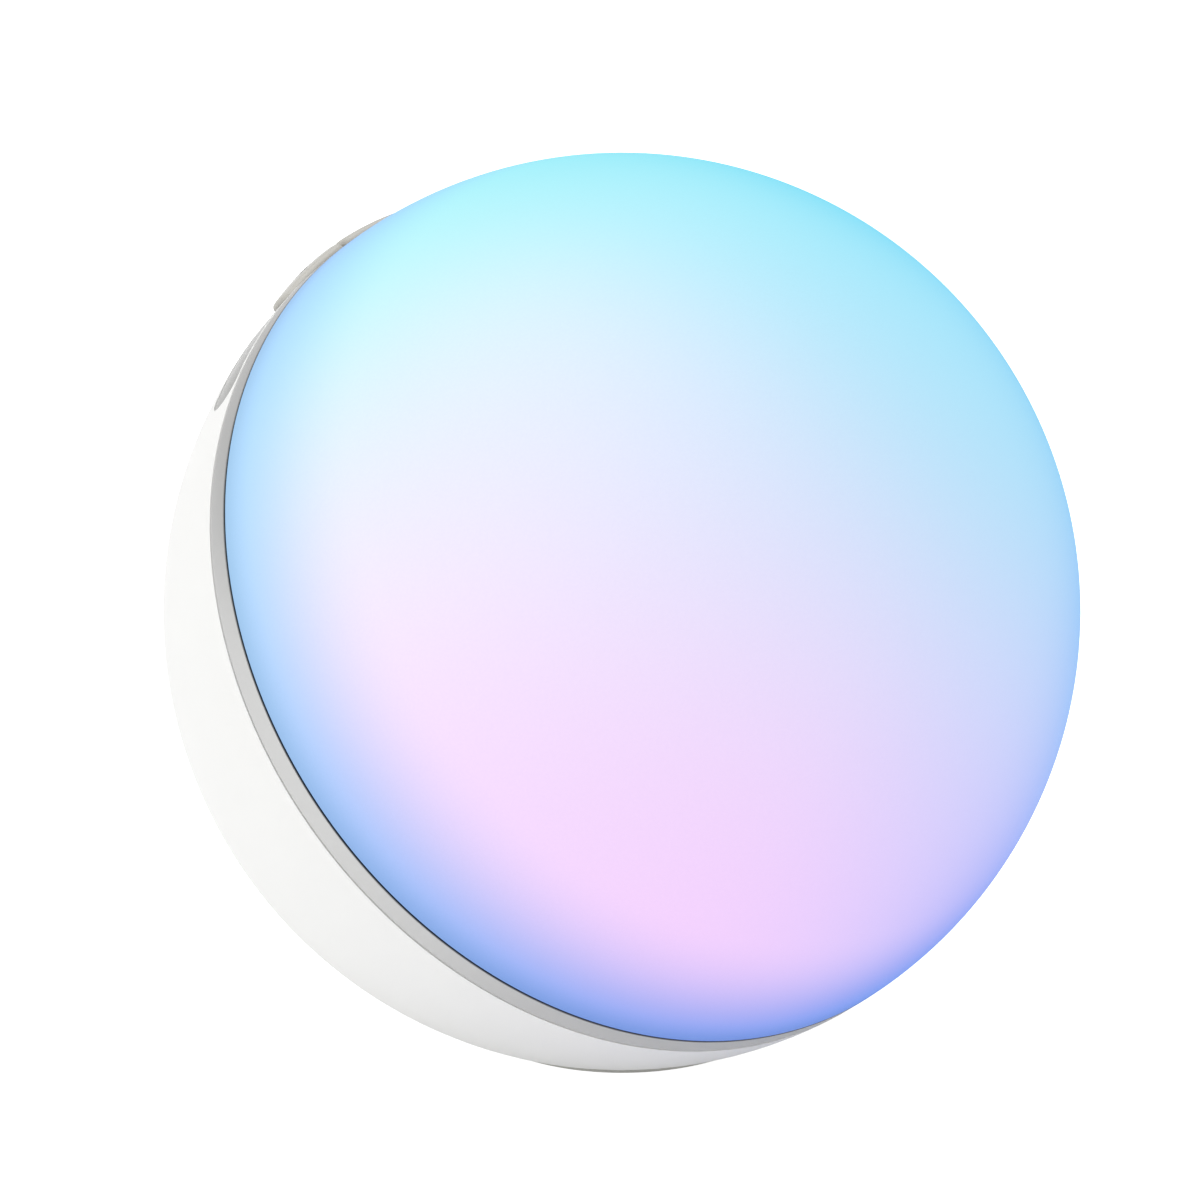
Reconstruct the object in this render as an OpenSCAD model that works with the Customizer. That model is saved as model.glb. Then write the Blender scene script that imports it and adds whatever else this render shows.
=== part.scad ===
// Globe lamp with a speaker: a frosted light dome in front, a white shell behind it,
// a satin band between them and a bent strip of four keys on top of the shell.
// Millimetres, +Z up. The origin is at the bottom centre of the foot ring.

/* [Globe] */
// Diameter of the globe
globe_d = 160; // [159:0.5:162]
// Wall thickness of the dome and of the rear shell
wall = 2.6; // [2.4:0.1:2.8]
// Angle of the dome's axis above the horizontal
dome_tilt = 39; // [38:0.5:41]
// Radius of the flat opening under the rear shell
base_r = 31; // [30.5:0.5:31.5]
// How far the foot ring stands below the base plate
foot_proud = 1.25; // [1:0.05:1.5]

/* [Band and strip] */
// Width of the satin band
band_w = 4.8; // [4.6:0.1:5]
// Width of the control strip
strip_w = 8.8; // [8.6:0.1:9]
// Angle from the top of the globe to the centre of each round strip end
strip_half_a = 40.6; // [40:0.1:42]
// Gap between the dome and the band
dome_gap = 0.3; // [0.2:0.05:0.4]

/* [Keys] */
// Number of keys in the row
key_count = 4; // [4:1:4]
// Width of a key across the strip
key_w = 6.6; // [6.2:0.1:6.8]
// Gap between neighbouring keys, as an angle about the row's centre
key_gap_a = 0.75; // [0.65:0.05:0.9]
// Height of the row's middle above the globe
key_rise = 2.8; // [2.5:0.1:3.1]
// How far a key goes down
key_travel = 0.5; // [0.4:0.05:0.6]

/* [Speaker] */
// Radius of the grille
grille_r = 29.8; // [29.6:0.1:30]
// Radius of each hole in the grille
grille_hole_r = 0.95; // [0.8:0.05:1.1]
// Number of rings of holes round the middle hole
grille_rings = 6; // [4:1:6]

/* [Hidden] */
$fn = 96;
SMALL_FN = 32;
FINE_FN = 360;
KNUCKLE = 1.2;

// Globe
globe_r = globe_d / 2;
inner_r = globe_r - wall;
weld_r = globe_r - wall / 2;
centre_h = sqrt(globe_r * globe_r - base_r * base_r) + foot_proud;

// Band, dome edge and shell edge, along the dome's axis
band_front = band_w / 2 + 0.45;
band_rear = band_front - band_w;
dome_edge = band_front + dome_gap;
shell_edge = band_rear - 0.12;
shell_ledge = -2.75;
flange_t = 0.7;
skirt_r = globe_r - 2.4;
skirt_wall = 2.2;
skirt_low = 0.3;
skirt_high = 8;

// Control strip, behind the band
strip_z = band_rear - 0.93 - strip_w / 2;
strip_clear = 0.12;
strip_out = globe_r - 0.1;
strip_in = inner_r - 0.4;
strip_flange_out = inner_r - 0.2;
strip_flange_in = inner_r - 1.5;
strip_flange_w = strip_w / 2 + 0.55;
strip_flange_a = strip_half_a + 0.6;
end_fullness = 1.02;
mic_a = [32.5, 38.5];
mic_hole_r = 0.6;

// The key row is part of a smaller circle whose centre is above the globe's
row_r = 66.4;
row_top = sqrt((globe_r + key_rise) * (globe_r + key_rise) - strip_z * strip_z);
row_shift = row_top - row_r;
row_a = 62.8;
key_a = (row_a - (key_count - 1) * key_gap_a) / key_count;
key_corner = 1.2;
key_crown_r = 10;
key_low = 56;
key_clear = 0.25;
key_clear_a = 0.3;
key_flange_in = globe_r - 6.8;
key_flange_t = 1;
key_flange_w = key_w / 2 + 0.8;
key_flange_a = 5.9;
key_stem_r = 1.8;
key_stem_low = key_flange_in - 0.8;
mat_in = key_stem_low - key_travel - 1;
mat_t = 0.5;
mat_pad_r = 2.6;
switch_low = mat_in - 1.6;
switch_w = 4.4;
switch_h = 1.3;
board_t = 1;
board_w = 4.4;
board_half_a = 43;
bracket_t = 2.7;

// Middle frame and what it carries, along the dome's axis
frame_low = -2.5;
frame_high = -0.5;
frame_r = globe_r - 4.8;
frame_rim_r = frame_r - 3.2;
frame_hole_r = 14;
frame_post_r = globe_r - 12;
frame_post_a = [-150, -103, -57, 57, 103, 150];
board_post_r = 48;
board_post_a = [-135, -45, 45, 135];
spreader_t = 1.6;
light_hole_r = 8;
light_z = frame_high + spreader_t;
led_z = light_z + spreader_t;
led_w = 5;
led_h = 1.4;
led_rings = [[18, 8], [36, 16], [54, 24]];
light_screw_r = 44;
light_screw_a = [30, 150, 270];
main_front = -14.4;
main_rear = -16;
main_r = 55;

// Screws
pilot_r = 1.3;
shank_r = 1.25;
small_pilot_r = 1.1;
small_shank_r = 1.05;

// Speaker, along its own axis, which points out of the rear of the globe
seat_z = -(globe_r - 12.8);
seat_in = 25.5;
seat_out = 33;
grille_t = 1.2;
grille_pitch = 4.2;
gasket_t = 0.6;
basket_front = seat_z + gasket_t;
basket_back = basket_front + 1.2;
basket_wall = 1.2;
basket_r = 25.4;
step_z = seat_z + 9.8;
floor_z = seat_z + 13.2;
motor_z = floor_z + basket_wall;
top_plate_t = 3;
magnet_t = 6;
yoke_t = 3;
coil_r = 8.55;
coil_wall = 0.75;
pole_r = 7.2;
cone_r = 19.4;
cone_t = 0.6;
cone_neck_z = seat_z + 6.2;
roll_r = 2.4;
roll_t = 0.5;
chamber_end = -36;
chamber_in = 30.4;
chamber_t = 2.4;
ear_post_r = 37;
ear_a = [-135, -45, 45, 135];
ear_low = -62;
wire_x = -27.8;

// Base, measured up from the table
plate_low = foot_proud;
plate_high = plate_low + 4.05;
ledge_z = plate_high + 0.1;
ledge_t = 2;
ledge_in = base_r - 5;
foot_in = base_r - 7;
foot_out = base_r - 1;
foot_t = foot_proud + 1.25;
base_screw_r = base_r - 2.6;
base_screw_a = [45, 135, 225, 315];
base_boss_h = 6.6;
ballast_r = 20.5;
ballast_h = 11.7;
ballast_y = -3.5;

// Port, in the level frame through the globe's centre
port_w = 8.94;
port_h = 3.26;
port_skin = 0.3;
port_front = globe_r - 1.7;
port_depth = 7.3;

// ---------- frames ----------

// The globe's own frame: centre at 0, +Z out through the dome, +Y to the top of the seam
module tilted() {
    translate([0, 0, centre_h])
        rotate([90 - dome_tilt, 0, 0])
            children();
}

// A level frame at the globe's centre
module level() {
    translate([0, 0, centre_h])
        children();
}

// Copies round the globe's axis, each at an angle from the top of the seam
module around(angles, r) {
    for (a = angles)
        rotate([0, 0, -a])
            translate([0, r, 0])
                children();
}

// A place on the control strip, with +Z pointing out of the globe
module on_strip(a, r) {
    rotate([0, 0, -a])
        translate([0, r, strip_z])
            rotate([-90, 0, 0])
                children();
}

// ---------- shared shapes ----------

// Half outline of a round wall, kept between two heights
module wall_outline(r_out, r_in, low, high) {
    intersection() {
        difference() {
            circle(r_out);
            circle(r_in);
        }
        translate([0, low])
            square([r_out, high - low]);
    }
}

// Ring with a rectangular section
module ring(r_out, r_in, low, high) {
    rotate_extrude()
        translate([r_in, low])
            square([r_out - r_in, high - low]);
}

// Bar bent along the control strip
module bent_bar(half_a, half_w, r_in, r_out) {
    translate([0, 0, strip_z])
        rotate([0, 0, 90 - half_a])
            rotate_extrude(angle = 2 * half_a)
                translate([r_in, -half_w])
                    square([r_out - r_in, 2 * half_w]);
}

// The same bar with round ends, a touch fuller than the bar so that they cross its sides
module bent_stadium(half_a, half_w, r_in, r_out) {
    intersection() {
        ring(r_out + 1, r_in - 1, strip_z - half_w, strip_z + half_w);
        union() {
            bent_bar(half_a, half_w + 1, r_in, r_out);
            for (a = [-half_a, half_a])
                on_strip(a, r_in)
                    cylinder(r = half_w * end_fullness, h = r_out - r_in);
        }
    }
}

// A bent stadium kept between two spheres, so that it follows the globe
module strip_skin(half_a, half_w, r_in, r_out) {
    difference() {
        intersection() {
            bent_stadium(half_a, half_w, r_in - 4, r_out + 4);
            sphere(r_out);
        }
        sphere(r_in);
    }
}

// Bar with round ends that lies along Y
module slot_bar(w, h, y_low, y_high) {
    translate([-(w - h) / 2, y_low, -h / 2])
        cube([w - h, y_high - y_low, h]);
    for (side = [-1, 1])
        translate([side * (w - h) / 2, y_low, 0])
            rotate([-90, 0, 0])
                cylinder(d = h, h = y_high - y_low, $fn = SMALL_FN);
}

// Pan-head screw whose head stands on Z = 0 and whose shank points down
module screw(shank, length, head_r, head_h) {
    translate([0, 0, -length])
        cylinder(r = shank, h = length + 0.1, $fn = SMALL_FN);
    difference() {
        cylinder(r = head_r, h = head_h, $fn = SMALL_FN);
        translate([0, 0, head_h / 2])
            cylinder(r = head_r / 2, h = head_h, $fn = 6);
    }
}

// Hole whose mouth is at Z = 0 and which goes down
module pilot(r, depth) {
    translate([0, 0, -depth])
        cylinder(r = r, h = depth + 0.1, $fn = SMALL_FN);
}

// Round lead through a list of points, with a slightly fuller bend at each
module lead(points, r) {
    for (i = [1:len(points) - 1]) {
        step = points[i] - points[i - 1];
        turn = acos(step[2] / norm(step));
        translate(points[i - 1])
            rotate([0, turn, atan2(step[1], step[0])])
                cylinder(r = r, h = norm(step), $fn = SMALL_FN);
    }
    for (i = [1:1:len(points) - 2])
        translate(points[i])
            sphere(r * KNUCKLE, $fn = SMALL_FN);
}

// Flat block centred on Z, standing on its base
module block(w, d, h) {
    translate([-w / 2, -d / 2, 0])
        cube([w, d, h]);
}

// ---------- globe ----------

module front_diffuser() {
    color([0.75, 0.86, 1])
        tilted()
            rotate_extrude() {
                wall_outline(globe_r, inner_r, dome_edge, globe_r);
                translate([skirt_r - skirt_wall, skirt_low])
                    square([skirt_wall, skirt_high - skirt_low]);
            }
}

module trim_ring() {
    color([0.76, 0.77, 0.77])
        tilted()
            rotate_extrude() {
                intersection() {
                    circle(globe_r, $fn = FINE_FN);
                    translate([skirt_r + 0.2, band_rear])
                        square([5, band_w]);
                }
                translate([frame_r + 0.2, band_rear])
                    square([skirt_r - frame_r + 0.1, flange_t]);
            }
}

// Everything inside the rear shell that is moulded with it
module shell_inside() {
    tilted() {
        difference() {
            ring(globe_r, globe_r - 6.5, shell_ledge - 2.6, shell_ledge);
            bent_bar(47, 20, globe_r - 8, globe_r + 1);
        }
        around(frame_post_a, frame_post_r)
            translate([0, 0, frame_low - 40])
                cylinder(r = 3.5, h = 40);
        ring(seat_out, seat_in, -globe_r, seat_z);
        around(ear_a, ear_post_r)
            translate([0, 0, -globe_r])
                cylinder(r = 3.2, h = globe_r + ear_low);
    }
    ring(base_r + 3, ledge_in, ledge_z, ledge_z + ledge_t);
    around(base_screw_a, base_screw_r)
        translate([0, 0, ledge_z])
            cylinder(r = 2.8, h = base_boss_h);
    level()
        for (side = [-1, 1])
            translate([side * 10 - 0.9, globe_r - 14, -port_h / 2 - 4])
                cube([1.8, 14, 2.7]);
}

// Everything cut out of the rear shell
module shell_openings() {
    tilted() {
        bent_stadium(strip_half_a, strip_w / 2 + strip_clear, globe_r - 9, globe_r + 4);
        around(frame_post_a, frame_post_r)
            translate([0, 0, frame_low])
                pilot(pilot_r, 10.5);
        ring(seat_in, 0, -globe_r - 1, seat_z + 1);
        rotate_extrude()
            intersection() {
                wall_outline(globe_r + 2, globe_r - grille_t, -globe_r - 2, 0);
                translate([0, -globe_r - 2])
                    square([grille_r + 0.2, globe_r]);
            }
        around(ear_a, ear_post_r)
            translate([0, 0, ear_low])
                pilot(pilot_r, 5);
        around(ear_a, 27.6)
            translate([0, 0, seat_z])
                pilot(small_pilot_r, 5);
    }
    translate([0, 0, -globe_r])
        cylinder(r = base_r, h = globe_r + ledge_z);
    around(base_screw_a, base_screw_r)
        translate([0, 0, ledge_z + base_boss_h - 0.6])
            pilot(pilot_r, base_boss_h);
    level() {
        slot_bar(port_w + 0.3, port_h + 0.3, globe_r - 8, globe_r + 1);
        slot_bar(13.6, 7.4, globe_r - 1.4, globe_r + 1);
    }
}

module rear_shell() {
    color([0.97, 0.97, 0.96])
        difference() {
            union() {
                tilted()
                    rotate_extrude()
                        wall_outline(globe_r, inner_r, -globe_r, shell_edge);
                intersection() {
                    shell_inside();
                    level()
                        sphere(weld_r);
                }
            }
            shell_openings();
        }
}

// ---------- control strip and keys ----------

// Slice of the key row: an angle about the row's centre, and the section given
module row_slice(from_a, slice_a) {
    translate([0, row_shift, strip_z])
        rotate([0, 0, 90 - from_a - slice_a])
            rotate_extrude(angle = slice_a)
                children();
}

module control_strip() {
    color([0.7, 0.71, 0.69])
        tilted()
            difference() {
                union() {
                    strip_skin(strip_half_a, strip_w / 2, strip_in, strip_out);
                    strip_skin(strip_flange_a, strip_flange_w, strip_flange_in, strip_flange_out);
                }
                row_slice(-row_a / 2 - key_clear_a, row_a + 2 * key_clear_a)
                    translate([key_low - 4, -key_w / 2 - key_clear])
                        square([20, key_w + 2 * key_clear]);
                for (a = mic_a)
                    on_strip(a, globe_r - 9)
                        cylinder(r = mic_hole_r, h = 12, $fn = SMALL_FN);
            }
}

// Section of a key: round shoulders under a gentle crown
module key_section() {
    flat = key_w / 2 - key_corner;
    intersection() {
        union() {
            translate([key_low, -key_w / 2])
                square([row_r - key_low - key_corner, key_w]);
            translate([key_low, -flat])
                square([row_r - key_low, 2 * flat]);
            for (side = [-1, 1])
                translate([row_r - key_corner, side * flat])
                    circle(key_corner, $fn = SMALL_FN);
        }
        translate([row_r - key_crown_r, 0])
            circle(key_crown_r);
    }
}

// Where key i starts in the row, and the way it is pressed
function key_from(i) = i * (key_a + key_gap_a) - row_a / 2;
function key_mid(i) = key_from(i) + key_a / 2;
function key_dir(i) = atan2(row_r * sin(key_mid(i)), row_shift + row_r * cos(key_mid(i)));

module key(i) {
    color([0.82, 0.83, 0.81])
        tilted() {
            difference() {
                row_slice(key_from(i), key_a)
                    key_section();
                translate([0, 0, strip_z - 10])
                    cylinder(r = key_flange_in + 0.2, h = 20);
            }
            rotate([0, 0, -key_dir(i)])
                bent_bar(key_flange_a, key_flange_w, key_flange_in, key_flange_in + key_flange_t);
            on_strip(key_dir(i), key_stem_low)
                cylinder(r = key_stem_r, h = key_flange_in - key_stem_low + 0.5, $fn = SMALL_FN);
        }
}

module key_light() {
    key(0);
}

module key_minus() {
    key(1);
}

module key_plus() {
    key(2);
}

module key_play() {
    key(3);
}

module key_mat() {
    color([0.85, 0.85, 0.83])
        tilted() {
            bent_bar(26.5, 3.9, mat_in, mat_in + mat_t);
            for (i = [0:key_count - 1])
                on_strip(key_dir(i), mat_in + mat_t / 2)
                    cylinder(r = mat_pad_r, h = key_stem_low - mat_in - mat_t / 2, $fn = SMALL_FN);
        }
}

module key_switches() {
    color([0.2, 0.2, 0.2])
        tilted()
            for (i = [0:key_count - 1])
                on_strip(key_dir(i), switch_low)
                    block(switch_w, switch_w, switch_h);
}

module key_board() {
    color([0.1, 0.35, 0.2])
        tilted()
            bent_bar(board_half_a, board_w, switch_low - board_t, switch_low);
}

module key_bracket() {
    bracket_out = switch_low - board_t;
    color([0.3, 0.3, 0.32])
        tilted() {
            bent_bar(board_half_a, board_w, bracket_out - bracket_t, bracket_out);
            translate([0, 0, strip_z])
                rotate([0, 0, 90 - board_half_a])
                    rotate_extrude(angle = 2 * board_half_a)
                        translate([bracket_out - bracket_t, 0])
                            square([1.2, frame_low - strip_z]);
        }
}

module mic_modules() {
    color([0.8, 0.7, 0.4])
        tilted()
            for (a = mic_a)
                on_strip(a, switch_low)
                    block(3.6, 2.8, 1.1);
}

module mic_gaskets() {
    low = switch_low + 1.1;
    color([0.12, 0.12, 0.12])
        tilted()
            for (a = mic_a)
                on_strip(a, low)
                    difference() {
                        cylinder(r = 2.2, h = globe_r - 5 - low, $fn = SMALL_FN);
                        translate([0, 0, -1])
                            cylinder(r = 0.7, h = 10, $fn = SMALL_FN);
                    }
}

module key_flex() {
    top = switch_low - board_t / 2;
    start = strip_z - board_w;
    color([0.75, 0.5, 0.2])
        tilted()
            translate([-4, 0, 0])
                rotate([90, 0, 90])
                    linear_extrude(8) {
                        translate([top - 0.3, main_rear - 1.2])
                            square([0.3, start - main_rear + 1.2]);
                        translate([54, main_rear - 1.5])
                            square([top - 54, 0.3]);
                    }
}

// ---------- light and frame ----------

module mid_frame() {
    color([0.88, 0.88, 0.86])
        tilted()
            difference() {
                union() {
                    ring(frame_r, frame_hole_r, frame_low, frame_high);
                    ring(frame_r, frame_rim_r, frame_low, 0);
                    ring(skirt_r - 0.3, frame_rim_r, band_rear + flange_t + 0.13, -0.1);
                    around(board_post_a, board_post_r)
                        translate([0, 0, main_front])
                            cylinder(r = 3, h = frame_low - main_front + 1);
                }
                around(frame_post_a, frame_post_r)
                    translate([0, 0, 1])
                        pilot(1.6, 6);
                around(board_post_a, board_post_r)
                    translate([0, 0, main_front - 0.1])
                        cylinder(r = pilot_r, h = 9, $fn = SMALL_FN);
                around(light_screw_a, light_screw_r)
                    translate([0, 0, frame_high])
                        pilot(small_pilot_r, 3);
            }
}

module heat_spreader() {
    color([0.78, 0.79, 0.8])
        tilted()
            difference() {
                ring(60, light_hole_r, frame_high, light_z);
                around(light_screw_a, light_screw_r)
                    translate([0, 0, light_z])
                        pilot(1.3, 3);
            }
}

module led_board() {
    color([0.93, 0.94, 0.93])
        tilted()
            difference() {
                ring(61, light_hole_r, light_z, led_z);
                around(light_screw_a, light_screw_r)
                    translate([0, 0, led_z])
                        pilot(1.3, 3);
            }
}

module leds() {
    color([1, 0.95, 0.7])
        tilted()
            for (row = led_rings)
                for (i = [0:row[1] - 1])
                    rotate([0, 0, 360 * (i + 0.5) / row[1]])
                        translate([0, row[0], led_z])
                            block(led_w, led_w, led_h);
}

module reflector() {
    floor_low = 1.3;
    floor_high = 2.5;
    color([0.97, 0.97, 0.97])
        tilted()
            rotate_extrude()
                polygon([
                    [61.8, floor_low], [frame_r - 0.6, floor_low], [frame_r - 0.6, skirt_high],
                    [frame_r - 1.6, skirt_high], [71, floor_high], [61.8, floor_high]
                ]);
}

module diffuser_sheet() {
    color([0.98, 0.98, 1])
        tilted()
            translate([0, 0, skirt_high])
                cylinder(r = frame_r - 0.6, h = 0.8);
}

module led_lead() {
    color([0.8, 0.1, 0.1])
        tilted() {
            lead([[0, 0, -11], [0, 0, 2.4], [2, 0, 4], [9, 0, 4]], 0.9);
            translate([12, 0, led_z])
                block(6, 5, 2.6);
        }
}

// ---------- electronics ----------

module main_board() {
    color([0.08, 0.32, 0.2])
        tilted()
            difference() {
                translate([0, 0, main_rear])
                    cylinder(r = main_r, h = main_front - main_rear);
                around(board_post_a, board_post_r)
                    translate([0, 0, main_front])
                        pilot(1.5, 3);
            }
}

// Place on the rear face of the main board, with +Z pointing away from the board
module on_board(x, y) {
    translate([x, y, main_rear])
        rotate([180, 0, 0])
            children();
}

// Thin metal lid, open towards the board
module can(w, d, h) {
    skin = 0.3;
    difference() {
        block(w, d, h);
        translate([0, 0, -skin])
            block(w - 2 * skin, d - 2 * skin, h);
    }
}

module shield_cans() {
    color([0.8, 0.8, 0.8])
        tilted() {
            on_board(-14, -16)
                can(26, 20, 2.8);
            on_board(20, -18)
                can(18, 18, 2.4);
        }
}

module board_chips() {
    color([0.1, 0.1, 0.1])
        tilted() {
            on_board(-14, -16)
                block(12, 12, 1.2);
            on_board(20, -18)
                block(8, 8, 1.2);
            on_board(16, 12)
                block(10, 10, 1.4);
            for (x = [-12, -2, 8])
                on_board(x, 24)
                    cylinder(r = 3.2, h = 7.5, $fn = SMALL_FN);
            on_board(-30, 20)
                block(9, 9, 4);
        }
}

module board_connectors() {
    color([0.93, 0.9, 0.8])
        tilted() {
            on_board(wire_x, 0)
                block(5, 7, 4);
            on_board(0, 36)
                block(8, 5, 4);
            on_board(0, 51.5)
                block(10, 5, 2.4);
            translate([0, 0, main_front])
                block(7, 5, 3.4);
            rotate([0, 0, -80])
                translate([0, 50.2, main_front])
                    block(2.6, 2.6, 1.8);
        }
}

module antenna_board() {
    color([0.1, 0.25, 0.4])
        tilted()
            rotate([0, 0, -80])
                translate([0, 62, frame_low - 9.5])
                    block(24, 1, 9.5);
}

module antenna_lead() {
    color([0.15, 0.15, 0.15])
        tilted()
            rotate([0, 0, -80])
                lead([[0, 61.25, -9.6], [0, 51.75, -13.2]], 0.6);
}

module port_board() {
    color([0.08, 0.32, 0.2])
        level()
            translate([0, globe_r - 9.8, -port_h / 2 - 1.2])
                block(21, 13, 1.2);
}

module usb_c_port() {
    color([0.75, 0.75, 0.76])
        level()
            difference() {
                slot_bar(port_w, port_h, port_front - port_depth, port_front);
                slot_bar(
                    port_w - 2 * port_skin, port_h - 2 * port_skin,
                    port_front - port_depth + 0.8, port_front + 1
                );
            }
}

module usb_c_tongue() {
    color([0.1, 0.1, 0.1])
        level()
            translate([-3.35, port_front - port_depth + 0.8, -0.35])
                cube([6.7, port_depth - 1.8, 0.7]);
}

module port_lead() {
    color([0.15, 0.15, 0.15])
        tilted()
            for (side = [-1, 1])
                lead(
                    [
                        [side * 1.2, 36, -20], [side * 1.2, 36, -26],
                        [side * 1.2, 38.6, -34], [side * 1.2, 38.6, -48.4]
                    ],
                    0.8
                );
}

// ---------- speaker ----------

module speaker_grille() {
    color([0.9, 0.9, 0.89])
        tilted()
            difference() {
                rotate_extrude()
                    intersection() {
                        wall_outline(globe_r, globe_r - grille_t, -globe_r, 0);
                        translate([0, -globe_r])
                            square([grille_r, globe_r]);
                    }
                for (k = [0:grille_rings])
                    for (i = [0:max(1, 6 * k) - 1])
                        rotate([0, 0, 360 * i / max(1, 6 * k)])
                            translate([k * grille_pitch, 0, -globe_r - 1])
                                cylinder(r = grille_hole_r, h = 12, $fn = 24);
            }
}

module grille_cloth() {
    cloth_r = globe_r - grille_t - 0.1;
    color([0.25, 0.25, 0.26])
        tilted()
            rotate_extrude()
                intersection() {
                    wall_outline(cloth_r, cloth_r - 0.6, -globe_r, 0);
                    translate([0, -globe_r])
                        square([seat_in - 0.2, globe_r]);
                }
}

// Four holes for the driver's screws
module driver_holes() {
    around(ear_a, 27.6)
        translate([0, 0, basket_back + 1])
            pilot(1.2, 4);
}

module speaker_gasket() {
    color([0.1, 0.1, 0.1])
        tilted()
            difference() {
                ring(29.6, seat_in + 0.1, seat_z, basket_front);
                driver_holes();
            }
}

module speaker_basket() {
    color([0.2, 0.2, 0.22])
        tilted()
            difference() {
                union() {
                    ring(29.8, 24.2, basket_front, basket_back);
                    ring(basket_r, basket_r - basket_wall, basket_front, step_z + basket_wall);
                    ring(basket_r, 17.5, step_z, step_z + basket_wall);
                    ring(17.5 + basket_wall, 17.5, step_z, motor_z);
                    ring(17.5 + basket_wall, 9.6, floor_z, motor_z);
                }
                driver_holes();
                for (a = [0:60:300])
                    rotate([0, 0, a + 30])
                        translate([0, 20, basket_back + 1.4])
                            block(11, 14, 4.6);
            }
}

module top_plate() {
    color([0.6, 0.6, 0.62])
        tilted()
            ring(17, 9.2, motor_z, motor_z + top_plate_t);
}

module magnet() {
    low = motor_z + top_plate_t;
    color([0.15, 0.15, 0.16])
        tilted()
            ring(18.5, 10.5, low, low + magnet_t);
}

module yoke() {
    low = motor_z + top_plate_t + magnet_t;
    color([0.6, 0.6, 0.62])
        tilted() {
            translate([0, 0, low])
                cylinder(r = 18, h = yoke_t);
            translate([0, 0, motor_z - 0.4])
                cylinder(r = pole_r, h = low - motor_z + 1);
        }
}

module voice_coil() {
    color([0.72, 0.45, 0.2])
        tilted()
            ring(coil_r, coil_r - coil_wall, cone_neck_z, motor_z + top_plate_t + 2);
}

module speaker_cone() {
    neck_r = coil_r + 0.05;
    color([0.18, 0.18, 0.19])
        tilted()
            rotate_extrude()
                polygon([
                    [neck_r, cone_neck_z], [cone_r, basket_front],
                    [cone_r, basket_front + cone_t], [neck_r, cone_neck_z + cone_t]
                ]);
}

module dust_cap() {
    cap_r = 12;
    edge_r = 9.4;
    edge_z = cone_neck_z - 0.5;
    top_z = edge_z + sqrt(cap_r * cap_r - edge_r * edge_r);
    color([0.12, 0.12, 0.13])
        tilted()
            translate([0, 0, top_z])
                rotate_extrude()
                    wall_outline(cap_r, cap_r - 0.4, -cap_r, edge_z - top_z);
}

module surround() {
    mid_r = cone_r + roll_r;
    color([0.08, 0.08, 0.08])
        tilted()
            translate([0, 0, basket_front])
                rotate_extrude() {
                    intersection() {
                        translate([mid_r, 0])
                            difference() {
                                circle(roll_r, $fn = SMALL_FN);
                                circle(roll_r - roll_t, $fn = SMALL_FN);
                            }
                        translate([0, -2 * roll_r])
                            square([2 * mid_r, 2 * roll_r]);
                    }
                    translate([cone_r - 1, -roll_t])
                        square([1.3, roll_t]);
                    translate([mid_r + roll_r - 0.3, -roll_t])
                        square([1.3, roll_t]);
                }
}

module spider() {
    color([0.75, 0.65, 0.4])
        tilted() {
            ring(19.6, coil_r + 0.1, step_z - 0.5, step_z);
            for (r = [10.6, 13, 15.4])
                ring(r + 0.7, r, step_z - 0.9, step_z - 0.2);
        }
}

module speaker_terminals() {
    color([0.8, 0.65, 0.3])
        tilted()
            translate([wire_x, 0, basket_back])
                block(2.4, 5, 2);
}

module speaker_wire() {
    color([0.7, 0.1, 0.1])
        tilted()
            for (side = [-1.2, 1.2])
                lead(
                    [
                        [wire_x, side, main_rear - 4], [wire_x, side, -24],
                        [wire_x + 1.6, side + 1.4, -29], [wire_x, side, -34],
                        [wire_x, side, basket_back + 2]
                    ],
                    0.7
                );
}

module speaker_chamber() {
    color([0.3, 0.3, 0.32])
        tilted()
            difference() {
                union() {
                    ring(seat_out, chamber_in, seat_z, chamber_end);
                    translate([0, 0, chamber_end - chamber_t])
                        cylinder(r = seat_out, h = chamber_t);
                    around(ear_a, ear_post_r)
                        translate([0, 0, ear_low])
                            cylinder(r = 4.6, h = 2.4);
                }
                ring(chamber_in, 0, seat_z, chamber_end - chamber_t);
                for (side = [-1.2, 1.2])
                    translate([wire_x, side, chamber_end + 1])
                        pilot(0.75, 5);
                around(ear_a, ear_post_r)
                    translate([0, 0, ear_low + 3])
                        pilot(1.5, 4);
            }
}

// ---------- base ----------

module ballast_weight() {
    color([0.35, 0.35, 0.37])
        translate([0, ballast_y, plate_high])
            cylinder(r = ballast_r, h = ballast_h);
}

module base_plate() {
    color([0.9, 0.9, 0.89])
        difference() {
            union() {
                ring(base_r - 0.15, 0, plate_low, plate_high);
                translate([0, ballast_y, 0])
                    ring(ballast_r + 1.6, ballast_r + 0.15, plate_high - 0.5, plate_high + 3);
            }
            ring(foot_out + 0.1, foot_in - 0.1, 0, foot_t);
            ring(17, 0, 0, plate_low + 0.5);
            around(base_screw_a, base_screw_r)
                translate([0, 0, foot_t - 0.1])
                    cylinder(r = 2.6, h = 1.6, $fn = SMALL_FN);
            around(base_screw_a, base_screw_r)
                translate([0, 0, foot_t])
                    cylinder(r = 1.5, h = 5, $fn = SMALL_FN);
        }
}

module foot_ring() {
    color([0.85, 0.85, 0.83])
        difference() {
            ring(foot_out, foot_in, 0, foot_t);
            for (r = [foot_in + 1.6, foot_in + 3.6])
                ring(r + 0.8, r, -1, 0.3);
        }
}

// ---------- screws ----------

module frame_screws() {
    color([0.6, 0.6, 0.62])
        tilted()
            around(frame_post_a, frame_post_r)
                translate([0, 0, frame_high])
                    screw(shank_r, 11, 2.4, 1.6);
}

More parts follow.
